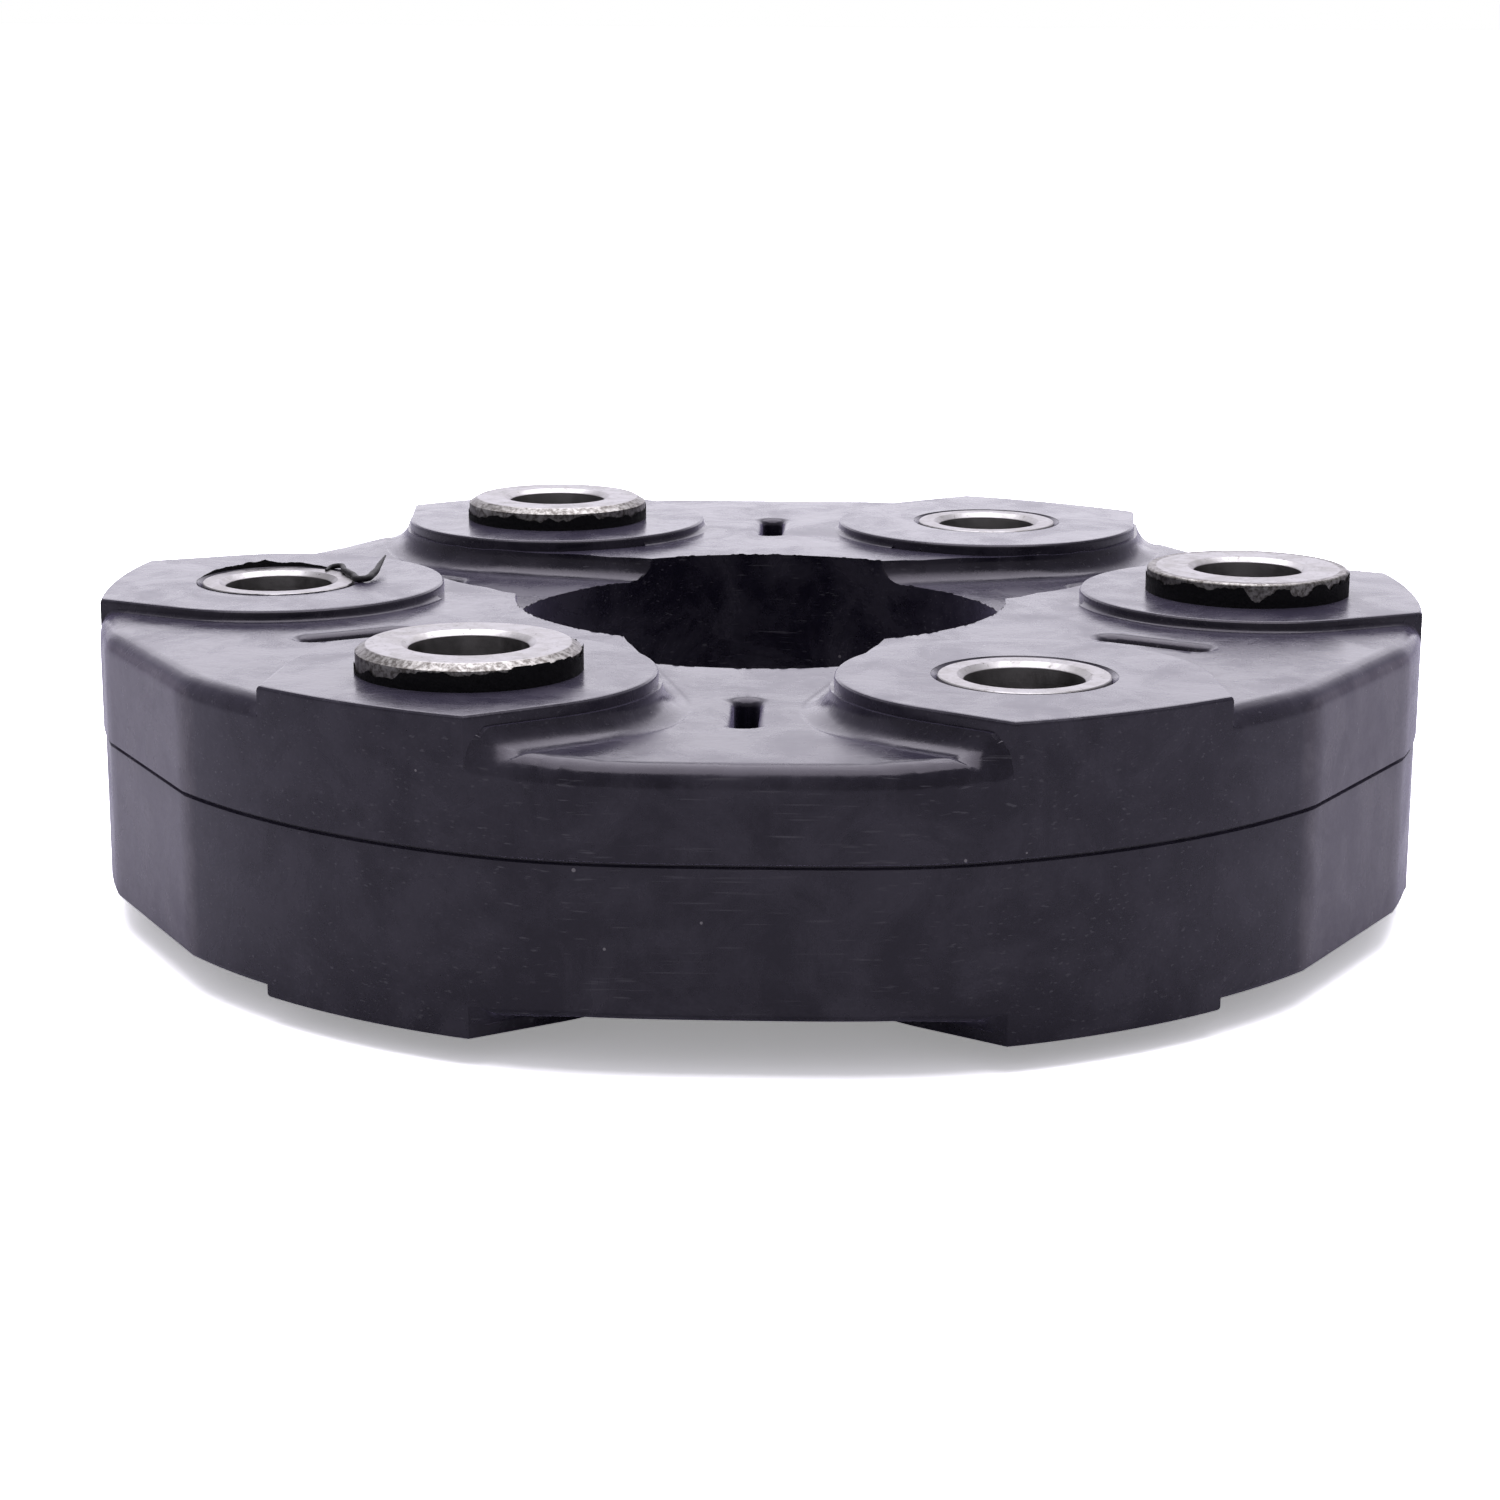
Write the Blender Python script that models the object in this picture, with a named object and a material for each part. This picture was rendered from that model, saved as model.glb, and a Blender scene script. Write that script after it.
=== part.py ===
"""Flexible disc coupling for a drive shaft.

A moulded rubber ring holds six steel sleeves on one bolt circle. Every other sleeve has its collar on
the upper side, the rest on the lower side, so that each side takes one three-armed shaft flange. Loops
of cord, bedded in the rubber, run round neighbouring sleeves and carry the torque.

Metres, +Z along the shaft. The origin is on the shaft's axis, level with the faces of the lower collars.
Angles are in degrees, anticlockwise from +X seen from above."""

import math

import bmesh
import bpy

# Circle of the bolt holes, and the steel sleeves
PITCH_RADIUS = 0.0550
BORE_RADIUS = 0.0060
BORE_CHAMFER = 0.0007
BORE_CHAMFER_DEPTH = 0.0005
SLEEVE_RADIUS = 0.0086
COLLAR_RADIUS = 0.01125
COLLAR_STAND = 0.0027
COLLAR_SEAT_DEPTH = 0.0015
COLLAR_CHAMFER = 0.0010
COLLAR_CHAMFER_DROP = 0.00065
PLAIN_COLLAR_EDGE = 0.0002

# Rubber body, in plan: the margins are measured from the pitch circle, the insets from the outer wall
WALL_MARGIN = 0.0187
OPENING_MARGIN = 0.0272
FLAT_INSET = 0.00105
LOW_FACE_INSET = 0.00145
LOW_FACE_HALF_ANGLE = 19.2
PAD_RADIUS = 0.0188
PAD_TAPER = 25.5
LEDGE_WIDTH = 0.0004
SHOULDER_ANGLE = 45.0

# Rubber body, in height: each step is measured down or in from the pad faces
PAD_SPAN = 0.0316
PARTING_DROP = 0.0133
MOULD_STEP = 0.0002
UPPER_HIGH_WEB_STEP = 0.00125
UPPER_LOW_WEB_STEP = 0.00385
LOWER_HIGH_WEB_STEP = 0.00105
LOWER_LOW_WEB_STEP = 0.00315
UPPER_HIGH_WEB_ROUND = 0.0020
UPPER_LOW_WEB_ROUND = 0.0016
LOWER_WEB_ROUND = 0.0008
PAD_LIP = 0.0004
COVE_RADIUS = 0.0013
COVE_DROP = 0.0010
COVE_BITE = 0.0003

# Rubber round the sleeves, and the radial slots of the webs
BORE_LIP = 0.0005
BORE_LIP_DEPTH = 0.0006
SLOT_RADIUS = 0.0489
SLOT_LENGTH = 0.0125
SLOT_WIDTH = 0.0027
SLOT_DEPTH = 0.0080
SLOT_FLARE = 0.0012
SLOT_FLARE_DEPTH = 0.0019

# Cord packs
CORD_WIDTH = 0.0070
CORD_CORNER = 0.0010
MAIN_CORD_HEIGHT = 0.0120
SIDE_CORD_HEIGHT = 0.0046
CORD_SPACING = 0.0016

# Clearance between pieces that touch, and how far a tool passes the face that it cuts
FIT_GAP = 0.0003
OVERCUT = 0.0020

# Angles between neighbouring bolt holes, and from a bolt hole to the middle of a web
BOLT_SPACING = 60
WEB_OFFSET = BOLT_SPACING / 2

# Fineness of the curves, and the distance below which two points are one
ROUND_STEPS = 24
OPENING_STEPS = 48
WALL_STEP_ANGLE = 5.0
BOSS_STEP_ANGLE = 12.0
EDGE_SEGMENTS = 3
COVE_SEGMENTS = 4
SLOT_END_STEPS = 4
CORD_TURN_STEPS = 6
SMOOTH_ANGLE = 30
MERGE_DISTANCE = 0.000002

# Radii and heights that follow from the sizes above
WALL_RADIUS = PITCH_RADIUS + WALL_MARGIN
OPENING_RADIUS = PITCH_RADIUS - OPENING_MARGIN
FLAT_RADIUS = WALL_RADIUS - FLAT_INSET
LEDGE_RADIUS = PAD_RADIUS + LEDGE_WIDTH
SHOULDER_RADIUS = LEDGE_RADIUS + COVE_BITE
LOWER_PAD = COLLAR_STAND
UPPER_PAD = LOWER_PAD + PAD_SPAN
PARTING = UPPER_PAD - PARTING_DROP
MIDDLE = (LOWER_PAD + UPPER_PAD) / 2

# Bolt holes by name: angle on the bolt circle, side of the collar, and whether its edge is plain
BOLTS = {
    "right": (0, 1, True),
    "back_right": (60, -1, False),
    "back_left": (120, 1, False),
    "left": (180, -1, False),
    "front_left": (240, 1, False),
    "front_right": (300, -1, False),
}
HIGH_WEBS = {"back": 90, "front_left": 210, "front_right": 330}
LOW_WEBS = {"back_right": 30, "back_left": 150, "front": 270}


def clear_scene():
    """Start from an empty scene."""
    for old in list(bpy.data.objects):
        bpy.data.objects.remove(old, do_unlink=True)


def finish(name, colour, roughness, metallic):
    """A plain Principled material."""
    material = bpy.data.materials.new(name)
    material.use_nodes = True
    shader = material.node_tree.nodes["Principled BSDF"]
    shader.inputs["Base Color"].default_value = (*colour, 1.0)
    shader.inputs["Roughness"].default_value = roughness
    shader.inputs["Metallic"].default_value = metallic
    return material


def add_object(name, bm, material=None):
    """Turn a bmesh into an object, smooth on its curves and sharp on its edges."""
    bmesh.ops.recalc_face_normals(bm, faces=bm.faces)
    mesh = bpy.data.meshes.new(name)
    bm.to_mesh(mesh)
    bm.free()
    mesh.shade_smooth()
    mesh.set_sharp_from_angle(angle=math.radians(SMOOTH_ANGLE))
    if material:
        mesh.materials.append(material)
    piece = bpy.data.objects.new(name, mesh)
    bpy.context.collection.objects.link(piece)
    return piece


def combine(body, name, bm, operation):
    """Unite a tool with a body, or cut it away. The tool stays as a hidden wire object."""
    tool = add_object(name, bm)
    tool.hide_render = True
    tool.display_type = "WIRE"
    boolean = body.modifiers.new(name, "BOOLEAN")
    boolean.operation = operation
    boolean.solver = "EXACT"
    boolean.object = tool


def polar(radius, angle):
    """Plan point at a radius and an angle about the shaft's axis."""
    return (radius * math.cos(math.radians(angle)), radius * math.sin(math.radians(angle)))


def around_bolt(bolt, side, out, across):
    """Plan point beside a bolt hole: out is away from the axis, across is towards one side."""
    x, y = polar(1.0, bolt)
    reach = PITCH_RADIUS + out
    return (x * reach - y * side * across, y * reach + x * side * across)


def draw_loop(bm, points):
    """Closed loop of edges through 3D points, in order."""
    corners = [bm.verts.new(point) for point in points]
    return [bm.edges.new(pair) for pair in zip(corners, corners[1:] + corners[:1])]


def loft(bm, rings):
    """Closed solid through rings of 3D points: each is bridged to the next, and the ends are capped."""
    loops = [draw_loop(bm, ring) for ring in rings]
    for first, second in zip(loops, loops[1:]):
        bmesh.ops.bridge_loops(bm, edges=first + second)
    bmesh.ops.edgeloop_fill(bm, edges=loops[0])
    bmesh.ops.edgeloop_fill(bm, edges=loops[-1])


def prism(bm, outline, start, end):
    """Extrude a plan outline from one height to another. Returns the face at the end."""
    base = bm.faces.new([bm.verts.new((x, y, start)) for x, y in outline])
    grown = bmesh.ops.extrude_face_region(bm, geom=[base])["geom"]
    moved = [item for item in grown if isinstance(item, bmesh.types.BMVert)]
    bmesh.ops.translate(bm, vec=(0, 0, end - start), verts=moved)
    return next(item for item in grown if isinstance(item, bmesh.types.BMFace))


def round_edges(bm, edges, radius, segments):
    """Round a set of edges."""
    bmesh.ops.bevel(bm, geom=edges, offset=radius, segments=segments, profile=0.5, affect="EDGES",
                    clamp_overlap=True, material=-1)


def turn_profile(bm, centre, profile, steps=ROUND_STEPS):
    """Closed solid turned about a vertical axis, from a profile of radii and heights.

    A profile that starts and ends on the axis leaves a loose edge there, which is removed."""
    start = [(centre[0] + radius, centre[1], height) for radius, height in profile]
    bmesh.ops.spin(bm, geom=draw_loop(bm, start), cent=(*centre, 0), axis=(0, 0, 1),
                   angle=2 * math.pi, steps=steps, use_merge=True)
    bmesh.ops.remove_doubles(bm, verts=bm.verts, dist=MERGE_DISTANCE)
    loose = [edge for edge in bm.edges if edge.is_wire]
    bmesh.ops.delete(bm, geom=loose, context="EDGES")


def is_high(web):
    """Whether the web at this angle is one of the high ones."""
    return web in HIGH_WEBS.values()


def wall_radius(angle):
    """Distance from the axis to the outer wall: flat at the high webs, gently swelling at the low ones."""
    web = BOLT_SPACING * (angle // BOLT_SPACING) % 360 + WEB_OFFSET
    off = abs(angle % BOLT_SPACING - WEB_OFFSET)
    if is_high(web):
        return min(WALL_RADIUS, FLAT_RADIUS / math.cos(math.radians(off)))
    share = min(off / LOW_FACE_HALF_ANGLE, 1.0)
    return WALL_RADIUS - LOW_FACE_INSET * math.cos(math.pi / 2 * share) ** 2


def corner_angle(radius):
    """Angle at the axis from a bolt hole to the corner where its boss meets the wall.

    The side of the boss is a straight line, which touches the boss's circle and tapers outwards."""
    taper = math.radians(PAD_TAPER)
    out = PITCH_RADIUS + radius * math.sin(taper)
    across = radius * math.cos(taper)
    along = out * math.cos(taper) - across * math.sin(taper)
    length = math.sqrt(along ** 2 + WALL_RADIUS ** 2 - out ** 2 - across ** 2) - along
    return math.degrees(math.atan2(across - length * math.sin(taper), out + length * math.cos(taper)))


def stations(stops):
    """Angles from the first stop to the last, close enough for a smooth wall."""
    angles = [stops[0]]
    for start, end in zip(stops, stops[1:]):
        steps = max(1, math.ceil((end - start) / WALL_STEP_ANGLE))
        angles += [start + (end - start) * step / steps for step in range(1, steps + 1)]
    return angles


def wall_outline(inset):
    """Points of the whole outer wall by their angle, with one at each corner that a boss or a flat has."""
    pad, shoulder = corner_angle(PAD_RADIUS), corner_angle(SHOULDER_RADIUS)
    flat_edge = WEB_OFFSET - math.degrees(math.acos(FLAT_RADIUS / WALL_RADIUS))
    angles = set()
    for bolt in range(0, 360, BOLT_SPACING):
        for side in (-1, 1):
            high = is_high((bolt + WEB_OFFSET * side) % 360)
            stops = [0, pad, flat_edge] if high else [0, pad, shoulder, WEB_OFFSET]
            angles |= {round((bolt + side * angle) % 360, 6) for angle in stations(sorted(stops))}
    return {angle: polar(wall_radius(angle) - inset, angle) for angle in sorted(angles)}


def wall_stretch(outline, start, end):
    """Points of the outer wall between two angles, both included."""
    offsets = {round((angle - start) % 360, 5): point for angle, point in outline.items()}
    return [offsets[offset] for offset in sorted(offsets) if offset <= end - start + 1e-5]


def boss_side(bolt, side, radius, last_angle):
    """Plan points round a boss, from where its straight side ends to an angle about the bolt hole."""
    first_angle = 90 - PAD_TAPER
    steps = math.ceil((last_angle - first_angle) / BOSS_STEP_ANGLE)
    turns = [math.radians(first_angle + (last_angle - first_angle) * step / steps)
             for step in range(steps + 1)]
    return [around_bolt(bolt, side, radius * math.cos(turn), radius * math.sin(turn)) for turn in turns]


def shoulder_end(bolt, side, radius):
    """Where the straight inner end of a shoulder has run out, just inside the central opening."""
    slope = math.radians(SHOULDER_ANGLE)
    out = PITCH_RADIUS - radius * math.cos(slope)
    across = radius * math.sin(slope)
    along = out * math.sin(slope) + across * math.cos(slope)
    stop = OPENING_RADIUS - OVERCUT
    length = along - math.sqrt(along ** 2 + stop ** 2 - out ** 2 - across ** 2)
    out -= length * math.sin(slope)
    return around_bolt(bolt, side, out - PITCH_RADIUS, across - length * math.cos(slope))


def pad_outline(outline, bolt):
    """Raised pad round a bolt hole: a circle, drawn out to two corners on the wall."""
    corner = corner_angle(PAD_RADIUS)
    left = boss_side(bolt, 1, PAD_RADIUS, 180)
    right = boss_side(bolt, -1, PAD_RADIUS, 180)[:-1]
    return wall_stretch(outline, bolt - corner, bolt + corner) + left + right[::-1]


def high_web_outline(outline, web):
    """High web with the shoulders round its two bolt holes, open to the low webs on both sides."""
    corner = corner_angle(SHOULDER_RADIUS)
    first, last = web - WEB_OFFSET, web + WEB_OFFSET
    sides = []
    for bolt, side in ((last, 1), (first, -1)):
        path = boss_side(bolt, side, SHOULDER_RADIUS, 180 - SHOULDER_ANGLE)
        sides.append(path + [shoulder_end(bolt, side, SHOULDER_RADIUS)])
    return wall_stretch(outline, first - corner, last + corner) + sides[0] + sides[1][::-1]


def wall_edges(face, inset):
    """Edges of a face that run along the outer wall."""
    def on_wall(vert):
        angle = math.degrees(math.atan2(vert.co.y, vert.co.x)) % 360
        return abs(vert.co.xy.length - wall_radius(angle) + inset) < MERGE_DISTANCE
    return [edge for edge in face.edges if all(on_wall(vert) for vert in edge.verts)]


def web_ring(inset, start, face_height, edge_round):
    """Full ring as high as a low web, with its outer edge rounded."""
    bm = bmesh.new()
    face = prism(bm, wall_outline(inset).values(), start, face_height)
    round_edges(bm, list(face.edges), edge_round, EDGE_SEGMENTS)
    return bm


def high_webs(inset, start, face_height, edge_round):
    """The three high webs, with their outer edges rounded."""
    bm = bmesh.new()
    outline = wall_outline(inset)
    for web in HIGH_WEBS.values():
        face = prism(bm, high_web_outline(outline, web), start, face_height)
        round_edges(bm, wall_edges(face, inset), edge_round, EDGE_SEGMENTS)
    return bm


def pads(inset, start, face_height):
    """The six raised pads, with a small bevel round each face."""
    bm = bmesh.new()
    outline = wall_outline(inset)
    for bolt, _, _ in BOLTS.values():
        face = prism(bm, pad_outline(outline, bolt), start, face_height)
        round_edges(bm, list(face.edges), PAD_LIP, 1)
    return bm


def shoulder_foot(bolt, side, grow):
    """Plan path along the foot of a shoulder, from outside the wall to inside the central opening.

    It keeps a distance from the ledge's own line."""
    radius = LEDGE_RADIUS + grow
    taper = math.radians(PAD_TAPER)
    reach = WALL_RADIUS + OVERCUT - PITCH_RADIUS
    run = (reach - radius * math.sin(taper)) * math.tan(taper)
    start = around_bolt(bolt, side, reach, radius * math.cos(taper) - run)
    path = boss_side(bolt, side, radius, 180 - SHOULDER_ANGLE)
    return [start] + path + [shoulder_end(bolt, side, radius)]


def cove_section(ledge_height, face_height, up):
    """Section of a cove: a wall down from the ledge, a round bottom, and open at the top."""
    axis = face_height + up * (COVE_RADIUS - COVE_DROP)
    turns = [math.pi * step / COVE_SEGMENTS for step in range(COVE_SEGMENTS + 1)]
    bottom = [(COVE_RADIUS * (1 - math.cos(turn)), axis - up * COVE_RADIUS * math.sin(turn))
              for turn in turns]
    top = ledge_height + up * OVERCUT
    return [(0, top)] + bottom + [(2 * COVE_RADIUS, top)]


def coves(ledge_height, face_height, up):
    """Tools for the hollow that runs along the foot of each shoulder, beside the low webs."""
    bm = bmesh.new()
    section = cove_section(ledge_height, face_height, up)
    for web in LOW_WEBS.values():
        for bolt, side in ((web - WEB_OFFSET, 1), (web + WEB_OFFSET, -1)):
            lines = [[(x, y, height) for x, y in shoulder_foot(bolt, side, off)] for off, height in section]
            loft(bm, list(zip(*lines)))
    return bm


def slot_ring(web, grow, height):
    """Long round-ended ring of points, along the middle of a web."""
    half_width = SLOT_WIDTH / 2 + grow
    straight = (SLOT_LENGTH - SLOT_WIDTH) / 2
    ring = []
    for end in (1, -1):
        for step in range(SLOT_END_STEPS + 1):
            turn = math.pi * (step / SLOT_END_STEPS - 0.5) + (0 if end > 0 else math.pi)
            x = SLOT_RADIUS + end * straight + half_width * math.cos(turn)
            y = half_width * math.sin(turn)
            distance, angle = math.hypot(x, y), web + math.degrees(math.atan2(y, x))
            ring.append((*polar(distance, angle), height))
    return ring


def slots(high_face, low_face, up):
    """Tools for the six blind radial slots of one side, each with a flared mouth."""
    bm = bmesh.new()
    for web in (*HIGH_WEBS.values(), *LOW_WEBS.values()):
        face = high_face if is_high(web) else low_face
        loft(bm, [slot_ring(web, 0, face - up * SLOT_DEPTH),
                  slot_ring(web, 0, face - up * SLOT_FLARE_DEPTH),
                  slot_ring(web, SLOT_FLARE * (1 + OVERCUT / SLOT_FLARE_DEPTH), face + up * OVERCUT)])
    return bm


def sleeve_seats():
    """Tools for the bore round each sleeve, with a seat for its collar and a lip at its flush end."""
    bm = bmesh.new()
    bore = SLEEVE_RADIUS + FIT_GAP
    seat = COLLAR_RADIUS + FIT_GAP
    for bolt, up, _ in BOLTS.values():
        collar_pad, flush_pad = (UPPER_PAD, LOWER_PAD) if up > 0 else (LOWER_PAD, UPPER_PAD)
        seat_floor = collar_pad - up * (COLLAR_SEAT_DEPTH + FIT_GAP)
        centre = polar(PITCH_RADIUS, bolt)
        lip = bore + BORE_LIP * (1 + OVERCUT / BORE_LIP_DEPTH)
        start, end = flush_pad - up * OVERCUT, collar_pad + up * OVERCUT
        turn_profile(bm, centre, [(0, start), (lip, start), (bore, flush_pad + up * BORE_LIP_DEPTH),
                                  (bore, seat_floor), (seat, seat_floor), (seat, end), (0, end)])
    return bm


def central_opening():
    """Tool for the opening through the middle."""
    bm = bmesh.new()
    bottom, top = LOWER_PAD - OVERCUT, UPPER_PAD + OVERCUT
    turn_profile(bm, (0, 0), [(0, bottom), (OPENING_RADIUS, bottom), (OPENING_RADIUS, top), (0, top)],
                 OPENING_STEPS)
    return bm


def cord_section(cord_height):
    """Section of a cord pack, with its corners cut: distance from the sleeve's axis, and height."""
    inner = SLEEVE_RADIUS + FIT_GAP
    outer = inner + CORD_WIDTH
    half = cord_height / 2
    cut = CORD_CORNER
    return [(inner, half - cut), (inner + cut, half), (outer - cut, half), (outer, half - cut),
            (outer, cut - half), (outer - cut, -half), (inner + cut, -half), (inner, cut - half)]


def channel_section(cord_height):
    """Section of the room for a cord pack: a plain rectangle with the fit gap all round."""
    inner = SLEEVE_RADIUS
    outer = inner + CORD_WIDTH + 2 * FIT_GAP
    half = cord_height / 2 + FIT_GAP
    return [(inner, half), (outer, half), (outer, -half), (inner, -half)]


def cord_loop(bm, web, height, section):
    """Closed loop round the two sleeves beside a web: its section is turned and drawn round both."""
    first = polar(PITCH_RADIUS, web - WEB_OFFSET)
    second = polar(PITCH_RADIUS, web + WEB_OFFSET)
    inward = polar(-1.0, web)
    edges = draw_loop(bm, [(first[0] + inward[0] * out, first[1] + inward[1] * out, height + z)
                           for out, z in section])
    for centre, target in ((first, second), (second, first)):
        turned = bmesh.ops.spin(bm, geom=edges, cent=(*centre, height), axis=(0, 0, 1),
                                angle=math.pi, steps=CORD_TURN_STEPS)["geom_last"]
        ring = [item for item in turned if isinstance(item, bmesh.types.BMEdge)]
        grown = bmesh.ops.extrude_edge_only(bm, edges=ring)["geom"]
        moved = [item for item in grown if isinstance(item, bmesh.types.BMVert)]
        bmesh.ops.translate(bm, vec=(target[0] - centre[0], target[1] - centre[1], 0), verts=moved)
        edges = [item for item in grown if isinstance(item, bmesh.types.BMEdge)
                 and all(vert in moved for vert in item.verts)]
    bmesh.ops.remove_doubles(bm, verts=bm.verts, dist=MERGE_DISTANCE)


def cord_packs():
    """Name, web, height and thickness of each loop: main loops at the middle, slim ones above and below."""
    rise = (MAIN_CORD_HEIGHT + SIDE_CORD_HEIGHT) / 2 + CORD_SPACING
    packs = [("main_cord_" + name, web, MIDDLE, MAIN_CORD_HEIGHT) for name, web in LOW_WEBS.items()]
    for name, web in HIGH_WEBS.items():
        packs.append(("upper_cord_" + name, web, MIDDLE + rise, SIDE_CORD_HEIGHT))
        packs.append(("lower_cord_" + name, web, MIDDLE - rise, SIDE_CORD_HEIGHT))
    return packs


def cord_channels():
    """Tools for the room that the cord packs take in the rubber, open to the sleeves' bores."""
    bm = bmesh.new()
    for _, web, height, cord_height in cord_packs():
        cord_loop(bm, web, height, channel_section(cord_height))
    return bm


def build_rubber(material):
    """Rubber body: the two mould halves joined at the parting line, then the hollows cut."""
    upper_low = UPPER_PAD - UPPER_LOW_WEB_STEP
    lower_low = LOWER_PAD + LOWER_LOW_WEB_STEP
    upper_high = UPPER_PAD - UPPER_HIGH_WEB_STEP
    lower_high = LOWER_PAD + LOWER_HIGH_WEB_STEP
    upper_ring = web_ring(0, PARTING, upper_low, UPPER_LOW_WEB_ROUND)
    lower_ring = web_ring(MOULD_STEP, PARTING + OVERCUT / 2, lower_low, LOWER_WEB_ROUND)
    upper_webs = high_webs(0, PARTING + OVERCUT, upper_high, UPPER_HIGH_WEB_ROUND)
    lower_webs = high_webs(MOULD_STEP, PARTING - OVERCUT, lower_high, LOWER_WEB_ROUND)
    body = add_object("rubber_body", upper_ring, material)
    combine(body, "upper_webs", upper_webs, "UNION")
    combine(body, "upper_pads", pads(0, PARTING + 2 * OVERCUT, UPPER_PAD), "UNION")
    combine(body, "lower_ring", lower_ring, "UNION")
    combine(body, "lower_webs", lower_webs, "UNION")
    combine(body, "lower_pads", pads(MOULD_STEP, PARTING - 2 * OVERCUT, LOWER_PAD), "UNION")
    combine(body, "upper_coves", coves(upper_high, upper_low, 1), "DIFFERENCE")
    combine(body, "lower_coves", coves(lower_high, lower_low, -1), "DIFFERENCE")
    combine(body, "opening", central_opening(), "DIFFERENCE")
    combine(body, "upper_slots", slots(upper_high, upper_low, 1), "DIFFERENCE")
    combine(body, "lower_slots", slots(lower_high, lower_low, -1), "DIFFERENCE")
    combine(body, "cord_channels", cord_channels(), "DIFFERENCE")
    combine(body, "sleeve_seats", sleeve_seats(), "DIFFERENCE")


def build_sleeve(name, bolt, up, plain_edge, material):
    """Turned steel sleeve: a tube with a collar at one end and chamfered bore mouths."""
    chamfer = PLAIN_COLLAR_EDGE if plain_edge else COLLAR_CHAMFER
    drop = PLAIN_COLLAR_EDGE if plain_edge else COLLAR_CHAMFER_DROP
    length = PAD_SPAN + COLLAR_STAND
    collar = length - COLLAR_STAND - COLLAR_SEAT_DEPTH
    mouth = BORE_RADIUS + BORE_CHAMFER
    bm = bmesh.new()
    turn_profile(bm, (0, 0), [(mouth, 0), (SLEEVE_RADIUS, 0), (SLEEVE_RADIUS, collar),
                              (COLLAR_RADIUS, collar), (COLLAR_RADIUS, length - drop),
                              (COLLAR_RADIUS - chamfer, length), (mouth, length),
                              (BORE_RADIUS, length - BORE_CHAMFER_DEPTH),
                              (BORE_RADIUS, BORE_CHAMFER_DEPTH)])
    sleeve = add_object("sleeve_" + name, bm, material)
    x, y = polar(PITCH_RADIUS, bolt)
    sleeve.location = (x, y, LOWER_PAD if up > 0 else UPPER_PAD)
    sleeve.rotation_euler = (0 if up > 0 else math.pi, 0, 0)


def build_cord(name, web, height, cord_height, material):
    """One cord pack."""
    bm = bmesh.new()
    cord_loop(bm, web, height, cord_section(cord_height))
    add_object(name, bm, material)


def build_coupling():
    """All pieces of the coupling."""
    rubber = finish("rubber", (0.022, 0.022, 0.028), 0.5, 0.0)
    steel = finish("steel", (0.60, 0.58, 0.55), 0.35, 1.0)
    cord = finish("cord", (0.50, 0.44, 0.33), 0.9, 0.0)
    build_rubber(rubber)
    for name, (bolt, up, plain_edge) in BOLTS.items():
        build_sleeve(name, bolt, up, plain_edge, steel)
    for pack in cord_packs():
        build_cord(*pack, cord)


clear_scene()
build_coupling()
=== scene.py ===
"""Looks of the flexible disc coupling: a rubber moulding, six turned steel sleeves and cord packs inside.

Metres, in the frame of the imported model: +Z along the shaft, z = 0 at the faces of the lower collars."""

import math

import bmesh
import bpy
from mathutils import Matrix, Vector, geometry, noise


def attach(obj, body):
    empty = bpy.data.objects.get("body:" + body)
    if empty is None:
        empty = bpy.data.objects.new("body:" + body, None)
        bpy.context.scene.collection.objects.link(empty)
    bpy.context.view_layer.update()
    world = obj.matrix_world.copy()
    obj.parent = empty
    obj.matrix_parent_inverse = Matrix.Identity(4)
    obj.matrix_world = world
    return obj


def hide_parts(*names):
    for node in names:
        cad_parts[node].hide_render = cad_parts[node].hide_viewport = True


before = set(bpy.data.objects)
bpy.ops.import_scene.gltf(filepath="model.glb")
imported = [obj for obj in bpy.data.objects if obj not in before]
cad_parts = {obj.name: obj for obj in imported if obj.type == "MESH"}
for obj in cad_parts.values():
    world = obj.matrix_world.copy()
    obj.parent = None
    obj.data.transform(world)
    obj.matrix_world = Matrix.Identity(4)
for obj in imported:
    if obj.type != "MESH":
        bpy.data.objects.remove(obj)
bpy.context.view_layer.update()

# Rubber moulding. One block of black rubber, pressed in a two-part mould round the sleeves and the cord.
# The upper half and the lower half meet at a parting line, and six pads stand up round the bolt holes.
BOLT_CIRCLE = 0.0550
UPPER_PAD = 0.0343
LOWER_PAD = 0.0027
PARTING = 0.0210
MOULD_STEP = 0.0002
WALL = 0.0737
FLAT = 0.07265
LOW_FACE = 0.07225
LOW_FACE_HALF_ANGLE = 19.2
OPENING = 0.0278
PAD = 0.0188
PAD_TAPER = 25.5
LEDGE = 0.0192
SHOULDER_ANGLE = 45.0
UPPER_HIGH_WEB_STEP = 0.00125
UPPER_LOW_WEB_STEP = 0.00385
LOWER_HIGH_WEB_STEP = 0.00105
LOWER_LOW_WEB_STEP = 0.00315
UPPER_ROUND = 0.0023
LOWER_ROUND = 0.0008
PAD_LIP = 0.00042
SLOT = 0.0489
SLOT_HALF_WIDTH = 0.00135
SLOT_HALF_STRAIGHT = 0.0049
PAST = 0.0020
WALL_STEP_ANGLE = 1.5
BOSS_STEP_ANGLE = 4
MERGE_DISTANCE = 1e-6
BOLTS = {"right": (0, 1), "back_right": (60, -1), "back_left": (120, 1),
         "left": (180, -1), "front_left": (240, 1), "front_right": (300, -1)}
HIGH_WEBS = (90, 210, 330)
LOW_WEBS = (30, 150, 270)


def polar(radius, angle):
    """Plan point at a radius and an angle about the shaft's axis."""
    return (radius * math.cos(math.radians(angle)), radius * math.sin(math.radians(angle)))


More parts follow.
